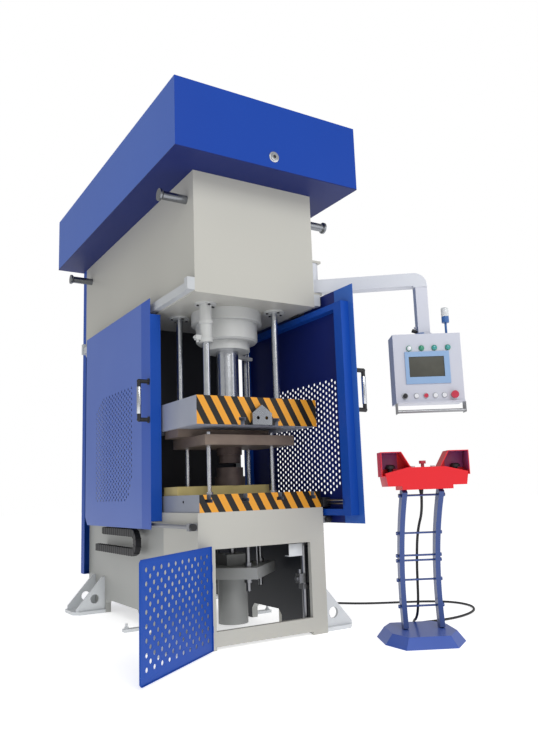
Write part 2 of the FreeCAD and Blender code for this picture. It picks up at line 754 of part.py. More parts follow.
def pendant_fittings():
    c, d, w = S.box_shift, S.box_depth / 2, S.box_width / 2
    rim = cut(span(c - 153, c + 143, -d - 8, -d, 1566, 1783),
              span(c - 128, c + 107, -d - 8, -d - 3, 1612, 1749))
    node("screen_bezel", pendant_place(rim))
    lamps = []
    for dx in (-121, -38, 48, 138):
        lamps.append(fuse(cyl((c + dx, -d - 5, S.lamp_z), 19, 5, "y"),
                          cyl((c + dx, -d - 16, S.lamp_z), 15, 11, "y")))
    node("pilot_lamps", pendant_place(group(*lamps)))
    x, hi = c + 159, S.box_high
    node("beacon", pendant_place(fuse(cyl((x, 0, hi), 20, 8), cyl((x, 0, hi), 8, 91),
                                      cyl((x, 0, hi + 91), 25, 41),
                                      cyl((x, 0, hi + 132), 23, 56),
                                      cone((x, 0, hi + 188), 23, 18, 8))))
    lo = S.box_low
    bar = cyl((c - w, -d - 8, lo - 59), 11, 2 * w, "x")
    ends = [span(c - w, c - w + 5, -d - 22, -d + 50, lo - 72, lo - 4),
            span(c + w - 5, c + w, -d - 22, -d + 50, lo - 72, lo - 4),
            span(c - w, c - w + 5, -d, -d + 50, lo - 4, lo),
            span(c + w - 5, c + w, -d, -d + 50, lo - 4, lo)]
    node("pendant_handle", pendant_place(fuse(bar, *ends)))


def pendant_controls():
    c, d, z = S.box_shift, S.box_depth / 2, S.row_z
    knob = fuse(cyl((c - 168, -d - 22, z), 15, 21, "y"), cyl((c - 168, -d - 1, z), 6, 31, "y"),
                span(c - 172, c - 164, -d - 30, -d - 22, z - 15, z + 15))
    node("selector", pendant_place(knob))
    for i, dx in enumerate((-92, -29, 33, 93), 1):
        press = fuse(cyl((c + dx, -d - 14, z), 14, 8, "y"),
                     cyl((c + dx, -d - 6, z), 9, 26, "y"))
        node(f"pendant_button_{i}", pendant_place(press))
    stop = fuse(cyl((c + 157, -d - 34, z), 25, 18, "y"), cyl((c + 157, -d - 16, z), 10, 40, "y"))
    node("emergency_stop", pendant_place(stop))


# ------------------------------------------------------------ two-hand stand
def stand_place(obj):
    return turned(obj, (S.stand_x, S.stand_y, 0), S.stand_angle)


def post(x):
    """One curved post: a sector of a ring about a level axis."""
    sectors = []
    start = math.degrees(math.asin((num(S.base_height) - num(S.arc_z)) / num(S.post_radius)))
    turn = FreeCAD.Rotation(V(1, 0, 0), start) * FreeCAD.Rotation(V(1, 1, 1), 120)
    for radius in (S.post_radius + S.post_depth / 2, S.post_radius - S.post_depth / 2):
        part = doc.addObject("Part::Cylinder", "Sector")
        bind(part, "Radius", radius)
        bind(part, "Height", S.post_width)
        part.Angle = 49
        put(part, (x - S.post_width / 2, S.arc_y, S.arc_z), turn)
        sectors.append(part)
    sectors[1].Angle = 360
    return cut(sectors[0], sectors[1])


def stand_frame():
    outline = [(-190, -290), (108, -290), (210, -110), (210, 120), (130, 265),
               (-190, 265), (-270, 120), (-270, -120)]
    base = prism("XY", outline, S.base_height)
    base.Tip.TaperAngle = -38
    sill = span(-150, 145, -60, 60, 40, S.base_height)
    left, right = -S.post_x - 8, S.post_x - 8
    parts = [base, sill, post(left), post(right)]
    for z in (845, 620, 485, 455, 340, 187):
        y = -989 + math.sqrt(1012 ** 2 - (z - 274) ** 2)
        parts.append(cyl((left - 27, y, z), 6, right - left + 54, "x"))
        parts.append(cyl((left - 30, y, z), 11, 12, "x"))
        parts.append(cyl((right + 18, y, z), 11, 12, "x"))
    node("stand_frame", stand_place(fuse(*parts)))


def hood(side):
    """A thin cowl over one palm button, open at the front and below."""
    outer = [(262, 958), (262, 1100), (140, 1100), (85, 1005)]
    wall = outer + [(90, 1001), (143, 1096), (258, 1096), (258, 962), (236, 962), (236, 958)]
    back = [(240, 958), (262, 958), (262, 1100), (140, 1100), (85, 1005), (110, 1000)]
    if side < 0:
        wall = [(-x, z) for x, z in wall[::-1]]
        back = [(-x, z) for x, z in back[::-1]]
    return [prism("XZ", wall, 105, (0, -150, 0)), prism("XZ", back, 4, (0, -150, 0))]


def console():
    outline = [(-232, 900), (232, 900), (245, 975), (110, 1007), (-110, 1007), (-245, 975)]
    box_body = prism("XZ", outline, S.console_depth, (0, S.console_y, 0))
    saddle = span(-150, 150, -275, -108, 878, 902)
    shape = fuse(box_body, saddle, *(hood(-1) + hood(1)))
    bores = [cyl((side * S.palm_x, S.palm_y, 950), 15.5, 60) for side in (-1, 1)]
    bores.append(cyl((0, S.palm_y, 970), 10.5, 45))
    posts = [span(side * S.post_x - 23, side * S.post_x + 7, -240, -120, 870, 900)
             for side in (-1, 1)]
    node("console_body", stand_place(cut(shape, *(bores + posts))))
    lamps = [cyl((side * 60, S.palm_y, 1007), 14, 9) for side in (-1, 1)]
    node("console_lamps", stand_place(group(*lamps)))
    for tag, side in (("left", -1), ("right", 1)):
        at = (side * S.palm_x, S.palm_y)
        palm = fuse(cyl((at[0], at[1], 962), 15, 44), cyl((at[0], at[1], 1004), 30, 14),
                    cone((at[0], at[1], 1018), 30, 20, 8))
        node(f"palm_button_{tag}", stand_place(palm))
    stop = fuse(cyl((0, S.palm_y, 980), 10, 48), cyl((0, S.palm_y, 1028), 20, 18))
    node("console_stop", stand_place(stop))


# Centre line of the cable from the stand to the press, bend by bend.
CABLE = [
    (726, -1697, 878), (726, -1697, 818), (738, -1673, 730), (764, -1615, 664),
    (780, -1577, 583), (788, -1557, 493), (795, -1542, 403), (797, -1536, 310),
    (799, -1530, 220), (811, -1505, 134), (850, -1441, 84), (903, -1369, 65),
    (951, -1302, 24), (1018, -1243, 8), (1108, -1234, 8), (1220, -1259, 8),
    (1391, -1261, 8), (1569, -1211, 8), (1726, -1116, 8), (1836, -969, 8),
    (1851, -787, 8), (1749, -638, 8), (1594, -539, 8), (1432, -450, 8),
    (1280, -344, 8), (1165, -200, 8), (1042, -62, 8), (908, 65, 8),
    (803, 143, 8), (688, 203, 10), (607, 229, 31), (545, 243, 85),
    (482, 250, 138), (405, 250, 138),
]


def stand_cable():
    """A round cable: straight runs joined by arcs tangent to both."""
    points = [V(*p) for p in CABLE]
    edges = []
    last = points[0]
    radii = []
    for i in range(1, len(points) - 1):
        back, on = points[i - 1] - points[i], points[i + 1] - points[i]
        near = 0.45 * min(back.Length, on.Length)
        a, b = V(back).normalize(), V(on).normalize()
        half = (math.pi - a.getAngle(b)) / 2
        if half < 0.004:
            continue
        radius = near / math.tan(half)
        radii.append(round(radius))
        start, end = points[i] + a * near, points[i] + b * near
        inward = (a + b).normalize()
        middle = points[i] + inward * (radius / math.cos(half) - radius)
        edges.append(Part.LineSegment(last, start).toShape())
        edges.append(Part.Arc(start, middle, end).toShape())
        last = end
    edges.append(Part.LineSegment(last, points[-1]).toShape())
    path = Part.Wire(edges)
    ring = Part.Wire([Part.Circle(points[0], V(0, 0, -1), SIZES["cable_radius"]).toShape()])
    tube = path.makePipeShell([ring], True, False)
    wanted = math.pi * SIZES["cable_radius"] ** 2 * path.Length
    print("cable", round(path.Length), "mm, smallest radius", min(radii),
          "volume ratio", round(tube.Volume / wanted, 4))
    obj = doc.addObject("Part::Feature", "Cable")
    obj.Shape = tube
    node("stand_cable", obj)


crown_box()
side_plates()
throat_back_plate()
bed_box()
bolster_plate()
mounting_feet()
pump_deck_and_cover()
lifting_trunnions()
rear_cabinet()
main_cylinder()
ram()
platen()
guide_rods()
guide_bushes()
position_rod()
bell_clamp()
die_set()
cushion()
pressure_pipe()
guard_rails()
guards()
energy_chain()
lower_door()
pendant_arm()
pendant_box()
pendant_fittings()
pendant_controls()
stand_frame()
console()
stand_cable()

doc.recompute()

bad = [f"{o.Label}: {o.State}" for o in doc.Objects
       if "Invalid" in o.State or "Error" in o.State]
for obj in NODES:
    if obj.Shape.isNull() or not obj.Shape.isValid():
        bad.append(obj.Label + ": shape")
if bad:
    raise RuntimeError("; ".join(bad))
os.makedirs("parts", exist_ok=True)
for obj in NODES:
    obj.Shape.exportStep(f"parts/{obj.Label}.step")
    box_ = obj.Shape.BoundBox
    print(obj.Label, len(obj.Shape.Solids), round(obj.Shape.Volume / 1e6, 2),
          [round(v) for v in (box_.XMin, box_.XMax, box_.YMin, box_.YMax, box_.ZMin, box_.ZMax)])
print(len(NODES), "nodes")
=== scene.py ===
"""Looks for a C-frame hydraulic press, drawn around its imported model.

The press has a painted welded frame, a blue pump cover, sliding guards,
a swing-arm pendant and a separate two-hand stand joined to it by a cable.
"""

from __future__ import annotations

import logging
import math
from dataclasses import dataclass, field
from enum import Enum

import bmesh
import bpy
from mathutils import Matrix, Vector

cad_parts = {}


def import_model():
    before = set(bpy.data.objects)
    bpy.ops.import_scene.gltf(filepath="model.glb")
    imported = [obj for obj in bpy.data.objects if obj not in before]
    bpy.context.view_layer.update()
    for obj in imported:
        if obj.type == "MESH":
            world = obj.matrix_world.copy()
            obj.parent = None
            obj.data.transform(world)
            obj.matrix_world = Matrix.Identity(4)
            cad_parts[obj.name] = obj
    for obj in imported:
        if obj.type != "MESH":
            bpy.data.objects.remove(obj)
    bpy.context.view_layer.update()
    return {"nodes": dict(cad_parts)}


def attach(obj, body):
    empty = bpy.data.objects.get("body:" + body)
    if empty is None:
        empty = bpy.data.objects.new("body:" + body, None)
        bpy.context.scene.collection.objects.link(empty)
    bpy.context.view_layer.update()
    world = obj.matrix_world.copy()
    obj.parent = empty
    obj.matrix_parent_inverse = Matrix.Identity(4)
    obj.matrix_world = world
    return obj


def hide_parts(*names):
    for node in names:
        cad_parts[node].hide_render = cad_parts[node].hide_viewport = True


LOG = logging.getLogger("press")
MM = 0.001
MM_PER_M = 1000
BUMP_DEPTH_M = 0.001
GLOSS_SWING = 0.06
LEAST_ROUGHNESS = 0.02
GRAIN_DETAIL = 2.0
WHITE = (1.0, 1.0, 1.0, 1.0)
SMOOTH_BELOW_DEG = 35.0
ROD_SIDES = 32
# The Mix node's sockets when it mixes colours.
MIX_FACTOR, MIX_FIRST, MIX_SECOND, MIXED = 0, 6, 7, 2
Point = tuple[float, float, float]
Box = tuple[Point, Point]
Ring = tuple[float, float, float, float]


class Side(Enum):
    """The two sides of the press, as seen from its front."""

    LEFT = -1
    RIGHT = 1


def linear(code: str) -> tuple[float, float, float, float]:
    """Turn an sRGB hex colour into linear red, green, blue and alpha.

    Args:
        code: Six hex digits with a leading hash.

    Returns:
        The colour that a shader socket takes.
    """
    parts = [int(code[i : i + 2], 16) / 255 for i in (1, 3, 5)]
    low = [c / 12.92 if c <= 0.04045 else ((c + 0.055) / 1.055) ** 2.4 for c in parts]
    return (low[0], low[1], low[2], 1.0)


def add(
    tree: bpy.types.NodeTree, kind: str, feeds: dict | None = None, **settings
) -> bpy.types.Node:
    """Add a shader node with its settings, values and links.

    Args:
        tree: The node tree to add to.
        kind: The node's type name, without the ShaderNode start.
        feeds: Input name or number, to a value or to another node's output.
        **settings: Properties of the node itself.

    Returns:
        The new node.
    """
    node = tree.nodes.new("ShaderNode" + kind)
    for name, value in settings.items():
        setattr(node, name, value)
    for name, value in (feeds or {}).items():
        if isinstance(value, bpy.types.NodeSocket):
            tree.links.new(value, node.inputs[name])
        else:
            node.inputs[name].default_value = value
    return node


@dataclass(frozen=True)
class Look:
    """A material that is built once and shared by every piece that wears it.

    Attributes:
        name: What a maker would call it.
    """

    name: str

    def make(self) -> bpy.types.Material:
        """Build the material, or find it if it is there already."""
        known = bpy.data.materials.get(self.name)
        if known:
            return known
        material = bpy.data.materials.new(self.name)
        material.use_nodes = True
        self.wire(material.node_tree)
        return material

    def wire(self, tree: bpy.types.NodeTree) -> None:
        """Wire the material's nodes."""
        raise NotImplementedError


@dataclass(frozen=True)
class Finish(Look):
    """A surface that is the same stuff all over, with a little life in it.

    Attributes:
        colour: Its usual colour as sRGB hex.
        shade: A second colour it drifts to.
        roughness: Mean roughness.
        metallic: One for bare metal.
        drift_mm: Size of the slow colour patches.
        grain_mm: Size of the fine bump.
        bump: Strength of the bump.
        brushed: Stretch of the grain along the part, one for none.
        coat: Clear coat weight.
        specular: Strength of the surface's own reflection.
    """

    colour: str
    shade: str
    roughness: float = 0.4
    metallic: float = 0.0
    drift_mm: float = 400.0
    grain_mm: float = 6.0
    bump: float = 0.04
    brushed: float = 1.0
    coat: float = 0.0
    specular: float = 0.5

    def wire(self, tree: bpy.types.NodeTree) -> None:
        """Wire colour drift, uneven gloss and a fine bump into the shader."""
        shader = tree.nodes["Principled BSDF"]
        place = add(tree, "TexCoord").outputs["Object"]
        colour = self.paint(tree, place)
        tree.links.new(colour, shader.inputs["Base Color"])
        stretch = add(
            tree, "Mapping", {"Vector": place, "Scale": (1, 1, 1 / self.brushed)}
        ).outputs[0]
        grain = add(
            tree,
            "TexNoise",
            {
                "Vector": stretch,
                "Scale": MM_PER_M / self.grain_mm,
                "Detail": GRAIN_DETAIL,
            },
        ).outputs["Fac"]
        gloss = add(
            tree,
            "MapRange",
            {
                "Value": grain,
                "To Min": max(LEAST_ROUGHNESS, self.roughness - GLOSS_SWING),
                "To Max": self.roughness + GLOSS_SWING,
            },
        ).outputs[0]
        tree.links.new(gloss, shader.inputs["Roughness"])
        relief = add(
            tree,
            "Bump",
            {"Height": grain, "Strength": self.bump, "Distance": BUMP_DEPTH_M},
        ).outputs[0]
        tree.links.new(relief, shader.inputs["Normal"])
        shader.inputs["Metallic"].default_value = self.metallic
        shader.inputs["Coat Weight"].default_value = self.coat
        shader.inputs["Specular IOR Level"].default_value = self.specular

    def paint(self, tree: bpy.types.NodeTree, place) -> bpy.types.NodeSocket:
        """Give the base colour."""
        return self.patches(tree, place, self.colour, self.shade)

    def patches(
        self, tree: bpy.types.NodeTree, place, colour: str, shade: str
    ) -> bpy.types.NodeSocket:
        """Drift between two near shades in slow patches."""
        patch = add(
            tree, "TexNoise", {"Vector": place, "Scale": MM_PER_M / self.drift_mm}
        ).outputs["Fac"]
        mix = add(
            tree,
            "Mix",
            {MIX_FACTOR: patch, MIX_FIRST: linear(colour), MIX_SECOND: linear(shade)},
            data_type="RGBA",
        )
        return mix.outputs[MIXED]


@dataclass(frozen=True)
class Zones(Finish):
    """Paint that changes to another colour past a plane.

    Attributes:
        axis: X, Y or Z, the axis the plane stands across.
        start: Where the other colour starts, in metres.
        end: Where it ends, in metres.
        other: The other colour as sRGB hex.
        other_shade: The shade that the other colour drifts to.
        by_normal: Compare the face's direction in place of its position.
    """

    axis: str = "Y"
    start: float = 0.0
    end: float = 1.0
    other: str = "#000000"
    other_shade: str = "#000000"
    by_normal: bool = False

    def paint(self, tree: bpy.types.NodeTree, place) -> bpy.types.NodeSocket:
        """Mix the two paints by where the surface lies, or how it faces."""
        base = super().paint(tree, place)
        source = add(tree, "TexCoord").outputs["Normal"] if self.by_normal else place
        value = add(tree, "SeparateXYZ", {0: source}).outputs[self.axis]
        above = add(
            tree, "Math", {0: value, 1: self.start}, operation="GREATER_THAN"
        ).outputs[0]
        below = add(
            tree, "Math", {0: value, 1: self.end}, operation="LESS_THAN"
        ).outputs[0]
        inside = add(
            tree, "Math", {0: above, 1: below}, operation="MULTIPLY"
        ).outputs[0]
        other = self.second(tree, place)
        mix = add(
            tree,
            "Mix",
            {MIX_FACTOR: inside, MIX_FIRST: base, MIX_SECOND: other},
            data_type="RGBA",
        )
        return mix.outputs[MIXED]

    def second(self, tree: bpy.types.NodeTree, place) -> bpy.types.NodeSocket:
        """Give the other colour, in slow patches too."""
        return self.patches(tree, place, self.other, self.other_shade)


@dataclass(frozen=True)
class Hazard(Zones):
    """Machined steel whose front face is painted with slanting warning bars.

    Attributes:
        pitch: Width of one pair of bars along X, in metres.
        lean: How far a bar moves along X for each metre down.
        offset: Shift of the pattern along X, in metres.
        dark_from: Part of each pair that stays in the first colour.
        lead: Whole pairs added, which keep the count above zero.
    """

    pitch: float = 0.0945
    lean: float = 0.55
    offset: float = 0.0
    dark_from: float = 0.5
    lead: int = 40

    def second(self, tree: bpy.types.NodeTree, place) -> bpy.types.NodeSocket:
        """Give amber and black bars that lean to the right going down."""
        parts = add(tree, "SeparateXYZ", {0: place})
        slant = add(
            tree,
            "Math",
            {0: parts.outputs["Z"], 1: self.lean, 2: parts.outputs["X"]},
            operation="MULTIPLY_ADD",
        ).outputs[0]
        turns = add(
            tree,
            "Math",
            {0: slant, 1: 1 / self.pitch, 2: self.offset / self.pitch + self.lead},
            operation="MULTIPLY_ADD",
        ).outputs[0]
        part = add(tree, "Math", {0: turns}, operation="FRACT").outputs[0]
        dark = add(
            tree, "Math", {0: part, 1: self.dark_from}, operation="GREATER_THAN"
        ).outputs[0]
        amber, black = linear(self.other), linear(self.other_shade)
        mix = add(
            tree,
            "Mix",
            {MIX_FACTOR: dark, MIX_FIRST: amber, MIX_SECOND: black},
            data_type="RGBA",
        )
        return mix.outputs[MIXED]


@dataclass(frozen=True)
class ClearLens(Look):
    """Clear polycarbonate: smooth, faintly grey, and see-through.

    Attributes:
        colour: Its tint as sRGB hex.
        ribs: Wave scale of the moulded ribs, one every 5.2 mm.
        rib_strength: Strength of the ribs' bump.
        roughness: Roughness of the moulded surface.
        ior: Polycarbonate's index of refraction.
        see_through: How much light passes.
    """

    name: str = "clear polycarbonate"
    colour: str = "#f4f7f8"
    ribs: float = 60.0
    rib_strength: float = 0.2
    roughness: float = 0.08
    ior: float = 1.58
    see_through: float = 0.4

    def wire(self, tree: bpy.types.NodeTree) -> None:
        """Wire a ribbed, part-clear surface."""
        shader = tree.nodes["Principled BSDF"]
        place = add(tree, "TexCoord").outputs["Object"]
        ribs = add(
            tree, "TexWave", {"Vector": place, "Scale": self.ribs}, bands_direction="Z"
        ).outputs["Fac"]
        relief = add(
            tree,
            "Bump",
            {"Height": ribs, "Strength": self.rib_strength, "Distance": BUMP_DEPTH_M},
        ).outputs[0]
        tree.links.new(relief, shader.inputs["Normal"])
        shader.inputs["Base Color"].default_value = linear(self.colour)
        shader.inputs["Roughness"].default_value = self.roughness
        shader.inputs["IOR"].default_value = self.ior
        shader.inputs["Transmission Weight"].default_value = self.see_through


# Settings of Zones and Hazard that more than one finish shares.
FACES_LEFT = {"axis": "X", "start": -2.0, "end": -0.5, "by_normal": True}
FACES_RIGHT = {"axis": "X", "start": 0.5, "end": 2.0, "by_normal": True}
# Painted shade for the side plates' inner faces.
PAINTED_SHADE_INSIDE = {"other": "#10151f", "other_shade": "#0d1119"}
WARNING_FRONT = {
    "axis": "Y", "start": -2.0, "end": -0.9, "by_normal": True,
    "other": "#e09a2c", "other_shade": "#15120f",
}

# Sprayed enamel over welded and folded steel: satin, with a faint orange peel.
LIGHT_GREY = Finish("light grey enamel", "#bcbbb3", "#b3b2ab", 0.42, drift_mm=900)
FOOT_GREY = Finish("foot grey enamel", "#dadddf", "#cfd3d6", 0.4, drift_mm=200)
CUSHION_GREY = Finish("cushion grey paint", "#a2a4a3", "#939594", 0.45, drift_mm=200)
CAST_GREY = Finish("painted cylinder", "#c3c4c2", "#b4b6b5", 0.4, drift_mm=300)
ARM_GREY = Finish("arm grey enamel", "#d2d5dc", "#c6cad3", 0.35, drift_mm=300)
# The throat's back plate is painted near black as shade, so the die zone reads deep.
BACK_PLATE_SHADE = Finish("back plate with painted shade", "#2b2c30", "#1d1e22", 0.6, drift_mm=300)
DOOR_BLUE = Finish(
    "door blue enamel", "#0f46a4", "#174dac", 0.45, drift_mm=500, specular=0.2
)
UNDER_NAVY = Finish(
    "deck underside enamel", "#14205c", "#182866", 0.5, drift_mm=500, specular=0.2
)
STAND_RED = Finish(
    "stand red enamel", "#e2262b", "#da2430", 0.35, drift_mm=200, specular=0.3
)
# Painted shade inside the two cowls: plum that drifts to violet.
HOOD_PAINTED_SHADE = Finish("plum painted shade in hoods", "#ac3258", "#84508e", 0.4, drift_mm=60)
# The cover's left side is painted a lighter blue: a painted sheen of the bright sky.
ROYAL_BLUE_PAINTED_SHEEN = Zones(
    "royal blue enamel with painted sheen", "#0a3a96", "#0f409e", 0.4, drift_mm=900, specular=0.25,
    other="#4063b8", other_shade="#466abe", **FACES_LEFT,
)
# The side plates' inner faces are painted near black as shade, so bay and throat read
# deep.
LEFT_PLATE = Zones(
    "left plate enamel", "#acada9", "#a2a4a1", 0.45, drift_mm=700,
    **PAINTED_SHADE_INSIDE, **FACES_RIGHT,
)
RIGHT_PLATE = Zones(
    "right plate enamel", "#acada9", "#a2a4a1", 0.45, drift_mm=700,
    **PAINTED_SHADE_INSIDE, **FACES_LEFT,
)
# Pale above, where the rails are painted; bare grey rod below.
RAIL_STEEL = Zones(
    "rail enamel and rod steel", "#c6c9cc", "#b4b8bb", 0.35, drift_mm=200,
    axis="Z", start=-1.0, end=1.0, other="#8b8d92", other_shade="#75777d",
)
# A darker post over a lighter base, both with a clear glossy top coat.
STAND_BLUE = Zones(
    "stand blue enamel", "#24407f", "#2c4a8c", 0.35, drift_mm=200, coat=0.2,
    axis="Z", start=-0.01, end=0.062, other="#4465bd", other_shade="#3a59b0",
)
# A pale grey box whose left side is painted blue: a painted reflection of the guard
# beside it.
PENDANT_GREY = Zones(
    "pendant grey enamel", "#c6c7d0", "#bcc1d0", 0.35, drift_mm=300,
    axis="X", start=-2.0, end=-0.6, by_normal=True,
    other="#7f95bf", other_shade="#728bba",
)
# Enamelled punched sheet; each guard's front strip has a shade of its own. The left
# sheet's light blue is partly enamel, partly painted sheen.
LEFT_SHEET = Zones(
    "left guard enamel", "#4a66b6", "#5672be", 0.38, drift_mm=600, specular=0.3,
    axis="Y", start=-0.54, end=-0.37, other="#2450ae", other_shade="#2a56b4",
)
RIGHT_SHEET = Zones(
    "right guard enamel", "#16205f", "#1b2a74", 0.38, drift_mm=500, specular=0.25,
    axis="Y", start=-1.41, end=-1.2, other="#3f6fc0", other_shade="#1d56b0",
)
# Hard chrome on turned rods: a tight, clear reflection; duller where handled.
CHROME = Finish(
    "hard chrome", "#d7d9dc", "#c6c9ce", 0.24, 1.0, drift_mm=60, grain_mm=40, bump=0
)
DULL_CHROME = Finish(
    "dulled chrome", "#8f9297", "#7c7f85", 0.25, 1.0, drift_mm=60, bump=0.02
)
# Ground steel: its fine grain is drawn out along the part.
GROUND = Finish(
    "ground steel", "#9b9c9e", "#86878b", 0.32, 1.0, grain_mm=1.5, brushed=8
)
# Tool steels under a film of oil or rust guard: brown to tan, only part metallic.
DIE_BROWN = Finish(
    "oiled die steel", "#8a7b6f", "#6d6058", 0.5, 0.55, drift_mm=90, bump=0.1
)
PUNCH_BROWN = Finish(
    "heat stained tool steel", "#574a45", "#3f3635", 0.45, 0.6, drift_mm=60
)
SHOE_TAN = Finish(
    "tanned die shoe", "#c7b77c", "#ab9a62", 0.5, 0.35, drift_mm=120, bump=0.1
)
# Machined plate whose front edge has amber and black warning bars.
PLATEN_BARS = Hazard(
    "platen with warning bars", "#a9adb8", "#959bab", 0.4, 0.15, drift_mm=200,
    **WARNING_FRONT,
)
BOLSTER_BARS = Hazard(
    "bolster with warning bars", "#9398a4", "#858b99", 0.4, 0.15, drift_mm=200,
    offset=0.02, **WARNING_FRONT,
)
# Moulded nylon and cable sheath: matt blacks with a fine texture.
BLACK_PLASTIC = Finish(
    "black nylon", "#17171a", "#222226", 0.5, drift_mm=30, grain_mm=2
)
BLACK_RUBBER = Finish(
    "black cable sheath", "#141416", "#1d1d20", 0.55, drift_mm=40, grain_mm=2
)
# Moulded caps and lamp lenses: glossy, with a clear skin.
WHITE_CAP = Finish("white push cap", "#e6e8ec", "#d6d9df", 0.25, drift_mm=20, coat=0.5)
RED_CAP = Finish("red push cap", "#b3263c", "#c43550", 0.25, drift_mm=20, coat=0.5)
LAMP_GREEN = Finish(
    "green lamp lens", "#27936f", "#1f7f66", 0.2, drift_mm=10, coat=0.6
)
LAMP_TEAL = Finish("teal lamp lens", "#2f9c98", "#27868c", 0.2, drift_mm=10, coat=0.6)
BEZEL_BLUE = Finish("steel blue bezel", "#8cabd0", "#82a2c8", 0.4, drift_mm=100)
# Display glass that is off: brownish grey, with an anti-glare surface.
SCREEN_DARK = Finish(
    "unlit display glass", "#5a5a52", "#3c3d37", 0.5, drift_mm=120, specular=0.3
)
# A blue base under the beacon's white top.
BEACON_BLUE = Zones(
    "beacon blue plastic", "#3767a6", "#2f5c9a", 0.4, drift_mm=40,
    axis="Z", start=2.037, end=3.0, other="#eef1f4", other_shade="#e2e7ec",
)
LENS = ClearLens()
# Matt white studio sheet, with no texture of its own.
STUDIO_WHITE = Finish(
    "white studio floor", "#f6f6f6", "#f4f4f5", 0.8, drift_mm=4000, bump=0.0
)

NODE_FINISH = {
    "crown_box": LIGHT_GREY, "left_side_plate": LEFT_PLATE,
    "right_side_plate": RIGHT_PLATE, "throat_back_plate": BACK_PLATE_SHADE,
    "bed_box": LIGHT_GREY, "bolster_plate": BOLSTER_BARS, "mounting_feet": FOOT_GREY,
    "pump_deck": UNDER_NAVY, "top_cover": ROYAL_BLUE_PAINTED_SHEEN, "lifting_trunnions": DULL_CHROME,
    "rear_cabinet": DOOR_BLUE, "main_cylinder": CAST_GREY, "guide_bushes": CAST_GREY,
    "rod_lock": CAST_GREY, "lower_die_shoe": SHOE_TAN, "die_pillars": CHROME,
    "die_block": PUNCH_BROWN, "cushion_plate": CUSHION_GREY, "cushion_tie_rods": GROUND,
    "cushion_cylinder": CUSHION_GREY, "pressure_pipe": GROUND,
    "guard_rails": RAIL_STEEL, "energy_chain": BLACK_PLASTIC, "stand_frame": STAND_BLUE,
    "console_body": STAND_RED, "console_lamps": WHITE_CAP, "platen": PLATEN_BARS,
    "ram": CHROME, "guide_rods": CHROME, "position_rod": CHROME,
    "bell_clamp": DULL_CHROME, "upper_die_plate": DIE_BROWN,
    "upper_die_shoe": DIE_BROWN, "punch": PUNCH_BROWN, "ejector_rod": GROUND,
    "left_guard_sheet": LEFT_SHEET, "right_guard_sheet": RIGHT_SHEET,
    "left_guard_frame": DOOR_BLUE, "right_guard_frame": DOOR_BLUE,
    "left_guard_carriages": GROUND, "right_guard_carriages": GROUND,
    "left_guard_handle": BLACK_PLASTIC, "right_guard_handle": BLACK_PLASTIC,
    "lower_door": DOOR_BLUE, "pendant_arm": ARM_GREY, "pendant_box": PENDANT_GREY,
    "screen_bezel": BEZEL_BLUE, "pilot_lamps": LAMP_GREEN, "beacon": BEACON_BLUE,
    "pendant_handle": GROUND, "selector": BLACK_PLASTIC, "pendant_button_1": WHITE_CAP,
    "pendant_button_2": RED_CAP, "pendant_button_3": WHITE_CAP,
    "pendant_button_4": WHITE_CAP, "emergency_stop": RED_CAP,
    "palm_button_left": BLACK_PLASTIC, "palm_button_right": BLACK_PLASTIC,
    "console_stop": RED_CAP, "stand_cable": BLACK_RUBBER,
}


def dress_nodes(nodes: dict[str, bpy.types.Object]) -> None:
    """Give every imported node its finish."""
    for name, obj in nodes.items():
        material = NODE_FINISH[name].make()
        if not obj.material_slots:
            obj.data.materials.append(material)
        for place in obj.material_slots:
            place.material = material


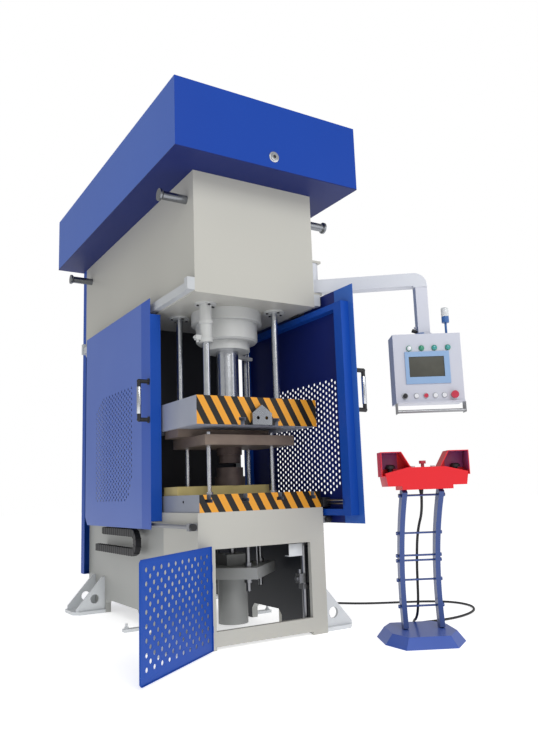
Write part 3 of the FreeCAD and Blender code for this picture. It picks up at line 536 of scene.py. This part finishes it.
@dataclass
class Shape:
    """A piece being built from bmesh operators, in millimetres.

    Attributes:
        name: The piece's name.
        mesh: The bmesh that the methods add to.
    """

    name: str
    mesh: bmesh.types.BMesh = field(default_factory=bmesh.new)

    def soften(self, edges: set[bmesh.types.BMEdge], width: float) -> None:
        """Round some edges with a two-step bevel of a width."""
        bmesh.ops.bevel(
            self.mesh, geom=list(edges), offset=width, segments=2, profile=0.5,
            affect="EDGES", material=-1, offset_type="OFFSET",
        )

    def block(
        self, low: Point, high: Point, turn: Matrix | None = None, edge: float = 1.0
    ) -> None:
        """Add a block between two corners, with bevelled edges.

        Args:
            low: The lowest corner.
            high: The highest corner.
            turn: A placement applied to the block, or none.
            edge: The bevel's width, zero for none.
        """
        made = bmesh.ops.create_cube(self.mesh, size=1.0)["verts"]
        middle = Vector([(a + b) / 2 for a, b in zip(low, high)])
        size = [b - a for a, b in zip(low, high)]
        place = Matrix.Translation(middle) @ Matrix.Diagonal((*size, 1.0))
        bmesh.ops.transform(self.mesh, matrix=(turn or Matrix()) @ place, verts=made)
        if edge:
            self.soften({e for v in made for e in v.link_edges}, edge)

    def rod(
        self, start: Point, end: Point, radius: float, tip: float | None = None,
        turn: Matrix | None = None, edge: float = 0.0,
    ) -> None:
        """Add a round bar or cone from one point to another.

        Args:
            start: Middle of the first end.
            end: Middle of the far end.
            radius: Radius at the start.
            tip: Radius at the far end, the same if none.
            turn: A placement applied to the bar, or none.
            edge: Width of the bevel round both ends, zero for none.
        """
        a, b = Vector(start), Vector(end)
        made = bmesh.ops.create_cone(
            self.mesh, cap_ends=True, segments=ROD_SIDES, radius1=radius,
            radius2=radius if tip is None else tip, depth=(b - a).length,
        )["verts"]
        aim = Vector((0, 0, 1)).rotation_difference(b - a).to_matrix().to_4x4()
        place = Matrix.Translation((a + b) / 2) @ aim
        bmesh.ops.transform(self.mesh, matrix=(turn or Matrix()) @ place, verts=made)
        if edge:
            caps = {f for v in made for f in v.link_faces if len(f.verts) > 4}
            self.soften({e for f in caps for e in f.edges}, edge)

    def finish(self, body: str, look: Look) -> None:
        """Turn the shape into a piece that rides on a body.

        Args:
            body: The body it moves with.
            look: The finish that it wears.
        """
        bmesh.ops.scale(self.mesh, vec=(MM, MM, MM), verts=self.mesh.verts)
        bmesh.ops.recalc_face_normals(self.mesh, faces=self.mesh.faces)
        data = bpy.data.meshes.new(self.name)
        self.mesh.to_mesh(data)
        self.mesh.free()
        data.materials.append(look.make())
        obj = bpy.data.objects.new(self.name, data)
        bpy.context.scene.collection.objects.link(obj)
        smooth_by_angle(obj)
        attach(obj, body)
        LOG.info("piece %s on %s", self.name, body)


def smooth_by_angle(obj: bpy.types.Object) -> None:
    """Shade a mesh smooth except across its sharp edges."""
    obj.data.shade_smooth()
    obj.data.set_sharp_from_angle(angle=math.radians(SMOOTH_BELOW_DEG))


def post(x: float, y: float, angle: float) -> Matrix:
    """Give the placement of a sub-assembly that stands turned about Z."""
    return Matrix.Translation((x, y, 0)) @ Matrix.Rotation(math.radians(angle), 4, "Z")


@dataclass
class PressFront:
    """Small parts on the cover, bed, guards and crown that the looks add.

    Attributes:
        lock_at: Middle of the cover lock, on the cover's front face.
        rose: Start and end along Y, radius and tip radius of the lock's rose.
        boss: The same for the boss on the rose.
        barrel: The same for the key barrel.
        bracket: The pipe bracket's upright and its foot.
        unit: The bar unit's case and the pad behind it.
        bar_places: X and Z of the unit's two bars.
        bar_run: Where the bars start and end along Y.
        bar_tie: The plate that joins the bars' ends.
        knob_at: X, Z and radius of a rail knob.
        knob_run: Where a rail knob starts and ends along Y.
        bush_x: X of the rod bushes, at either side.
        bush_y: Y of the front and rear rod bushes.
        screw_circle: Radius of the screws' circle on a bush flange.
        screw_run: Where a bush screw starts and ends along Z.
    """

    lock_at: Point = (11, -1317, 3015)
    rose: Ring = (0, 6, 38, 34)
    boss: Ring = (6, 10, 24, 21)
    barrel: Ring = (9, 12, 12, 10)
    bracket: tuple[Box, Box] = (
        ((210, -1012, 484), (312, -1006, 562)),
        ((210, -1006, 484), (312, -960, 490)),
    )
    unit: tuple[Box, Box] = (
        ((455, -1062, 786), (518, -984, 846)),
        ((450, -1050, 800), (456, -1000, 836)),
    )
    bar_places: tuple[tuple[float, float], ...] = ((472, 828), (500, 806))
    bar_run: tuple[float, float] = (-1062, -1276)
    bar_tie: Box = ((462, -1284, 796), (510, -1274, 838))
    knob_at: Point = (485, 705, 20.8)
    knob_run: tuple[float, float] = (-1056, -1086)
    bush_x: float = 265
    bush_y: tuple[float, float] = (-845, -425)
    screw_circle: float = 56
    screw_run: tuple[float, float] = (2116, 2108)

    def build(self) -> None:
        """Build the lock, bracket, bar unit, rail knobs and bush screws."""
        self.cover_lock()
        self.pipe_bracket()
        self.support_arm()
        self.rail_knobs()
        self.bush_screws()

    def cover_lock(self) -> None:
        """A round chrome lock with a black key barrel."""
        rose = Shape("cover_lock_rose")
        self.lock_ring(rose, self.rose, 1.5)
        self.lock_ring(rose, self.boss, 0.0)
        rose.finish("frame", CHROME)
        barrel = Shape("cover_lock_barrel")
        self.lock_ring(barrel, self.barrel, 0.0)
        barrel.finish("frame", BLACK_PLASTIC)

    def lock_ring(self, shape: Shape, ring: Ring, edge: float) -> None:
        """Add one round step of the lock, standing out of the cover."""
        x, y, z = self.lock_at
        start, end, radius, tip = ring
        shape.rod((x, y - start, z), (x, y - end, z), radius, tip, edge=edge)

    def pipe_bracket(self) -> None:
        """The pale angle that holds the cushion pipe in the bay."""
        bracket = Shape("pipe_bracket")
        for low, high in self.bracket:
            bracket.block(low, high)
        bracket.finish("frame", FOOT_GREY)

    def support_arm(self) -> None:
        """The black unit with two bars, which the right guard's post carries."""
        unit = Shape("bar_unit")
        case, pad = self.unit
        unit.block(*case, edge=3.0)
        unit.block(*pad)
        unit.finish("right_guard", BLACK_PLASTIC)
        bars = Shape("unit_bars")
        start, end = self.bar_run
        for x, z in self.bar_places:
            bars.rod((x, start, z), (x, end, z), 7, edge=1.0)
        bars.block(*self.bar_tie, edge=2.0)
        bars.finish("right_guard", GROUND)

    def rail_knobs(self) -> None:
        """Black end knobs on the lower guard rods."""
        knobs = Shape("rail_knobs")
        reach, z, radius = self.knob_at
        start, end = self.knob_run
        for side in Side:
            x = side.value * reach
            knobs.rod((x, start, z), (x, end, z), radius, edge=3.0)
        knobs.finish("frame", BLACK_PLASTIC)

    def bush_screws(self) -> None:
        """Black cap screws in the flanges of the four rod bushes."""
        screws = Shape("bush_screws")
        out = self.screw_circle
        top, bottom = self.screw_run
        for x in (-self.bush_x, self.bush_x):
            for y in self.bush_y:
                for dx, dy in ((-out, 0), (out, 0), (0, -out), (0, out)):
                    at = (x + dx, y + dy)
                    screws.rod((*at, top), (*at, bottom), 8.8, edge=0.8)
        screws.finish("frame", BLACK_PLASTIC)


@dataclass
class HoodShade:
    """Plum liners inside the two cowls over the palm buttons: a painted shade on the
    red housing.

    Attributes:
        x: X of the stand's axis.
        y: Y of the stand's axis.
        angle: How far the stand is turned about its axis, in degrees.
        back: The cowls' inner back face, along the stand's own Y.
        front: The liners' front edge, along the stand's own Y.
        near: A cowl's inner side, from the stand's axis.
        far: A cowl's outer cheek, from the stand's axis.
        low: Bottom of a cheek liner.
        sill: Bottom of a back liner.
        roof: Underside of a cowl's roof.
        skin: Bevel of a liner's edges.
    """

    x: float = 783
    y: float = -1589
    angle: float = -28
    back: float = -155.5
    front: float = -252.5
    near: float = 144
    far: float = 257
    low: float = 985
    sill: float = 1002
    roof: float = 1095
    skin: float = 0.3

    def build(self) -> None:
        """Line the back, the outer cheek and the roof of each cowl with painted shade.
        """
        turn = post(self.x, self.y, self.angle)
        liners = Shape("hood_painted_shade")
        back, front, roof = self.back, self.front, self.roof
        for side in Side:
            s = side.value
            a, b = sorted((s * self.near, s * self.far))
            liners.block((a, back, self.sill), (b, back + 1.2, roof), turn, self.skin)
            a, b = sorted((s * (self.far - 0.8), s * (self.far + 0.6)))
            liners.block((a, front, self.low), (b, back, roof), turn, self.skin)
            a, b = sorted((s * (self.near + 2), s * (self.far - 1)))
            liners.block((a, front, roof - 0.8), (b, back, roof + 0.6), turn, self.skin)
        liners.finish("frame", HOOD_PAINTED_SHADE)


@dataclass
class CableCarrier:
    """Ribs of the looped cable carrier at the left of the bed.

    Attributes:
        low: Height of the lower run.
        high: Height of the upper run.
        bend_y: Where the runs meet the bend.
        low_end: Where the lower run ends.
        high_end: Where the upper run ends.
        pitch: Spacing of the links.
        sides: X of a rib's two side faces.
        half: Half a rib's height.
        width: A rib's width along the run.
        edge: Bevel of a rib's edges.
    """

    low: float = 513
    high: float = 645
    bend_y: float = -90
    low_end: float = 700
    high_end: float = 545
    pitch: float = 46
    sides: tuple[float, float] = (-502, -458)
    half: float = 27
    width: float = 9
    edge: float = 1.5

    def build(self) -> None:
        """Wrap one rib round each link, along both runs and the bend."""
        ribs = Shape("carrier_ribs")
        left, right = self.sides
        y = self.bend_y
        while y < self.low_end:
            for z, last in ((self.low, self.low_end), (self.high, self.high_end)):
                if y < last:
                    low = (left, y, z - self.half)
                    high = (right, y + self.width, z + self.half)
                    ribs.block(low, high, edge=self.edge)
            y += self.pitch
        middle = (self.low + self.high) / 2
        radius = (self.high - self.low) / 2
        low = (left, -self.width / 2, radius - self.half)
        high = (right, self.width / 2, radius + self.half)
        turns = int(math.pi * radius / self.pitch)
        for i in range(1, turns + 1):
            turn = Matrix.Rotation(math.pi * i / (turns + 1), 4, "X")
            place = Matrix.Translation((0, self.bend_y, middle)) @ turn
            ribs.block(low, high, place, self.edge)
        ribs.finish("frame", BLACK_PLASTIC)


@dataclass
class GuardHandle:
    """The bright grip between a guard handle's two black elbows.

    Attributes:
        side: The side of the press it is on.
        body: The guard that it rides on.
        y: Where the grip stands.
        reach: Distance of the grip from the press's middle plane.
        low: Height of the grip's lower end.
        high: Height of the grip's upper end.
        radius: Radius of the grip.
    """

    side: Side
    body: str
    y: float
    reach: float = 597
    low: float = 1430
    high: float = 1610
    radius: float = 15

    def build(self) -> None:
        """Build the grip sleeve."""
        x = self.side.value * self.reach
        grip = Shape(f"{self.body}_grip")
        grip.rod((x, self.y, self.low), (x, self.y, self.high), self.radius, edge=1.5)
        grip.finish(self.body, CHROME)


@dataclass
class Pendant:
    """Display, collars and lamp lenses on the swing-arm pendant.

    Attributes:
        x: X of the pendant's axis.
        y: Y of the pendant's axis.
        angle: How far the pendant is turned about its axis, in degrees.
        face: The front face, along the pendant's own Y.
        glass: Left, low, right and high edges of the display.
        row: Height of the row of buttons.
        large: Lateral places of the two large collars.
        small: Lateral places of the small collars.
        large_radius: Radius of a large collar.
        small_radius: Radius of a small collar.
        lamps: Height of the row of lamps.
        lamp_looks: Lateral place and finish of each lamp.
        lens_depths: A lamp lens's back, rim and tip, out of the face.
        lens_radii: A lamp lens's radius at its back, rim and tip.
        beacon: Lateral place, low and high end, and radius of the beacon's lens.
        knob: The two ends of the clamp knob.
        knob_radii: Its radius at each end.
    """

    x: float = 1091
    y: float = -1435
    angle: float = -31.7
    face: float = -85
    glass: tuple[float, float, float, float] = (-128, 1612, 107, 1749)
    row: float = 1486
    large: tuple[float, ...] = (-168, 157)
    small: tuple[float, ...] = (-92, -29, 33, 93)
    large_radius: float = 23
    small_radius: float = 20
    lamps: float = 1807
    lamp_looks: tuple[tuple[float, Finish], ...] = (
        (-121, WHITE_CAP), (-38, LAMP_GREEN), (48, LAMP_TEAL), (138, LAMP_TEAL),
    )
    lens_depths: Point = (5, 15, 19)
    lens_radii: Point = (16.2, 15.5, 9)
    beacon: tuple[float, float, float, float] = (159, 2038, 2098, 25)
    knob: Box = ((-42, -10, 1932), (-76, -10, 1946))
    knob_radii: tuple[float, float] = (11, 13)

    def build(self) -> None:
        """Build the display, collars, lenses and clamp knob."""
        turn = post(self.x, self.y, self.angle)
        self.display(turn)
        self.collars(turn)
        self.lamp_lenses(turn)
        lens = Shape("beacon_lens")
        x, low, high, radius = self.beacon
        lens.rod((x, 0, low), (x, 0, high), radius, turn=turn, edge=2.0)
        lens.finish("pendant", LENS)
        knob = Shape("clamp_knob")
        knob.rod(*self.knob, *self.knob_radii, turn=turn, edge=1.5)
        knob.finish("pendant", BLACK_PLASTIC)

    def display(self, turn: Matrix) -> None:
        """The display's glass, half a millimetre proud of the face."""
        left, low, right, high = self.glass
        back, front = self.face - 0.5, self.face - 4
        glass = Shape("display_glass")
        glass.block((left, front, low), (right, back, high), turn, 1.0)
        glass.finish("pendant", SCREEN_DARK)

    def collars(self, turn: Matrix) -> None:
        """A bright collar round each button, the selector and the stop."""
        collars = Shape("button_collars")
        back, front = self.face, self.face - 4
        for x in sorted(self.large + self.small):
            radius = self.large_radius if x in self.large else self.small_radius
            collars.rod(
                (x, back, self.row), (x, front, self.row), radius, radius - 2, turn=turn
            )
        collars.finish("pendant", CHROME)

    def lamp_lenses(self, turn: Matrix) -> None:
        """One domed lens for each lamp."""
        z = self.lamps
        back, rim, tip = (self.face - depth for depth in self.lens_depths)
        wide, narrow, end = self.lens_radii
        for i, (x, look) in enumerate(self.lamp_looks, 1):
            lens = Shape(f"lamp_lens_{i}")
            lens.rod((x, back, z), (x, rim, z), wide, narrow, turn=turn, edge=0.8)
            lens.rod((x, rim, z), (x, tip, z), narrow, end, turn=turn)
            lens.finish("pendant", look)


@dataclass
class StandCable:
    """The cable from the stand's console to the right side of the press.

    Attributes:
        radius: Half its diameter, in metres.
        length: Its length, in metres; not used.
        exit_gland: Length, radius and tip radius of the console's gland.
        entry_gland: The same for the side plate's gland.
        points: Its route, bend by bend, in metres.
    """

    radius: float = 0.008
    length: float = 4.11
    exit_gland: Point = (30, 14, 10)
    entry_gland: Point = (34, 15, 10.5)
    points: tuple[Point, ...] = (
        (0.726, -1.697, 0.878), (0.726, -1.697, 0.818), (0.738, -1.673, 0.730),
        (0.764, -1.615, 0.664), (0.780, -1.577, 0.583), (0.788, -1.557, 0.493),
        (0.795, -1.542, 0.403), (0.797, -1.536, 0.310), (0.799, -1.530, 0.220),
        (0.811, -1.505, 0.134), (0.850, -1.441, 0.084), (0.903, -1.369, 0.065),
        (0.951, -1.302, 0.024), (1.018, -1.243, 0.008), (1.108, -1.234, 0.008),
        (1.220, -1.259, 0.008), (1.391, -1.261, 0.008), (1.569, -1.211, 0.008),
        (1.726, -1.116, 0.008), (1.836, -0.969, 0.008), (1.851, -0.787, 0.008),
        (1.749, -0.638, 0.008), (1.594, -0.539, 0.008), (1.432, -0.450, 0.008),
        (1.280, -0.344, 0.008), (1.165, -0.200, 0.008), (1.042, -0.062, 0.008),
        (0.908, 0.065, 0.008), (0.803, 0.143, 0.008), (0.688, 0.203, 0.010),
        (0.607, 0.229, 0.031), (0.545, 0.243, 0.085), (0.482, 0.250, 0.138),
        (0.405, 0.250, 0.138),
    )

    def build(self) -> None:
        """Build the cable as one smooth spline and its two glands."""
        curve = bpy.data.curves.new("control_cable", "CURVE")
        curve.dimensions = "3D"
        curve.bevel_depth = self.radius
        curve.bevel_resolution = 5
        curve.resolution_u = 8
        curve.use_fill_caps = True
        spline = curve.splines.new("NURBS")
        spline.points.add(len(self.points) - 1)
        for point, where in zip(spline.points, self.points):
            point.co = (*where, 1.0)
        spline.order_u = 3
        spline.use_endpoint_u = True
        curve.materials.append(BLACK_RUBBER.make())
        cable = bpy.data.objects.new("control_cable", curve)
        bpy.context.scene.collection.objects.link(cable)
        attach(cable, "frame")
        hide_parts("stand_cable")
        self.glands()

    def glands(self) -> None:
        """A gland at each end, tapering on to the cable."""
        glands = Shape("cable_glands")
        x, y, z = (v / MM for v in self.points[0])
        reach, radius, tip = self.exit_gland
        glands.rod((x, y, z), (x, y, z - reach), radius, tip, edge=0.5)
        x, y, z = (v / MM for v in self.points[-1])
        reach, radius, tip = self.entry_gland
        glands.rod((x, y, z), (x + reach, y, z), radius, tip, edge=0.5)
        glands.finish("frame", BLACK_PLASTIC)


@dataclass
class Studio:
    """A pale floor, plain soft light and the camera.

    Attributes:
        eye: Where the camera stands.
        right: The camera's own X axis.
        up: The camera's own Y axis.
        back: The camera's own Z axis, which points away from its view.
        lens: Focal length in millimetres.
        sensor: Sensor width in millimetres.
        shift: Sensor shift, sideways and up.
        far: How far the camera sees.
        floor_size: Half the floor's width.
        floor_drop: How far the floor lies below zero, clear of the feet.
        floor_glow: Strength of the floor's own light.
        sky_glow: Strength of the sky on the press.
        sky_seen: Strength of the sky where the camera sees it.
        lamps: Name, place, aim, width and power of each light.
    """

    eye: Point = (-2.244, -4.824, 0.891)
    right: Point = (0.852922, -0.520929, -0.034024)
    up: Point = (-0.057123, -0.157914, 0.985799)
    back: Point = (-0.518904, -0.838866, -0.164445)
    lens: float = 33.31
    sensor: float = 36.0
    shift: tuple[float, float] = (-0.00168, 0.00213)
    far: float = 200.0
    floor_size: float = 40
    floor_drop: float = 0.0005
    floor_glow: float = 0.62
    sky_glow: float = 0.45
    sky_seen: float = 1.0
    lamps: tuple[tuple[str, Point, Point, float, float], ...] = (
        ("key light", (-1.5, -9.0, 6.5), (0, -0.6, 1.4), 4.0, 300.0),
        ("fill light", (5.0, -6.0, 3.0), (0.2, -0.6, 1.2), 4.0, 60.0),
    )

    def build(self) -> None:
        """Build the floor, the lights and the camera."""
        self.floor()
        self.light()
        self.camera()

    def floor(self) -> None:
        """A wide near-white floor."""
        mesh = bmesh.new()
        bmesh.ops.create_grid(mesh, x_segments=1, y_segments=1, size=self.floor_size)
        data = bpy.data.meshes.new("floor")
        mesh.to_mesh(data)
        mesh.free()
        floor = bpy.data.objects.new("floor", data)
        floor.location.z = -self.floor_drop
        material = STUDIO_WHITE.make()
        shader = material.node_tree.nodes["Principled BSDF"]
        shader.inputs["Emission Color"].default_value = WHITE
        shader.inputs["Emission Strength"].default_value = self.floor_glow
        data.materials.append(material)
        bpy.context.scene.collection.objects.link(floor)

    def light(self) -> None:
        """A bright even sky with one broad key and one broad fill."""
        scene = bpy.context.scene
        world = bpy.data.worlds.new("studio sky")
        world.use_nodes = True
        tree = world.node_tree
        sky = tree.nodes["Background"]
        seen = add(tree, "LightPath").outputs["Is Camera Ray"]
        level = add(
            tree,
            "MapRange",
            {"Value": seen, "To Min": self.sky_glow, "To Max": self.sky_seen},
        )
        sky.inputs["Color"].default_value = WHITE
        tree.links.new(level.outputs[0], sky.inputs["Strength"])
        scene.world = world
        for name, where, aim, size, power in self.lamps:
            data = bpy.data.lights.new(name, "AREA")
            data.size = size
            data.energy = power
            lamp = bpy.data.objects.new(name, data)
            lamp.location = where
            ray = Vector(aim) - Vector(where)
            lamp.rotation_euler = ray.to_track_quat("-Z", "Y").to_euler()
            scene.collection.objects.link(lamp)

    def camera(self) -> None:
        """The camera, standing in front of the press to its left."""
        data = bpy.data.cameras.new("camera")
        data.lens = self.lens
        data.sensor_width = self.sensor
        data.sensor_fit = "AUTO"
        data.shift_x, data.shift_y = self.shift
        data.clip_end = self.far
        camera = bpy.data.objects.new("camera", data)
        turn = Matrix((self.right, self.up, self.back)).transposed().to_4x4()
        camera.matrix_world = Matrix.Translation(self.eye) @ turn
        bpy.context.scene.collection.objects.link(camera)
        bpy.context.scene.camera = camera


def main() -> None:
    """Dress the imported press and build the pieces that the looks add."""
    logging.basicConfig(level=logging.INFO)
    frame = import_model()
    Studio().build()
    StandCable().build()
    dress_nodes(frame["nodes"])
    PressFront().build()
    CableCarrier().build()
    GuardHandle(Side.LEFT, "left_guard", y=-505).build()
    GuardHandle(Side.RIGHT, "right_guard", y=-1373).build()
    HoodShade().build()
    Pendant().build()
    bpy.context.scene.view_settings.view_transform = "Standard"


if __name__ == "__main__":
    main()
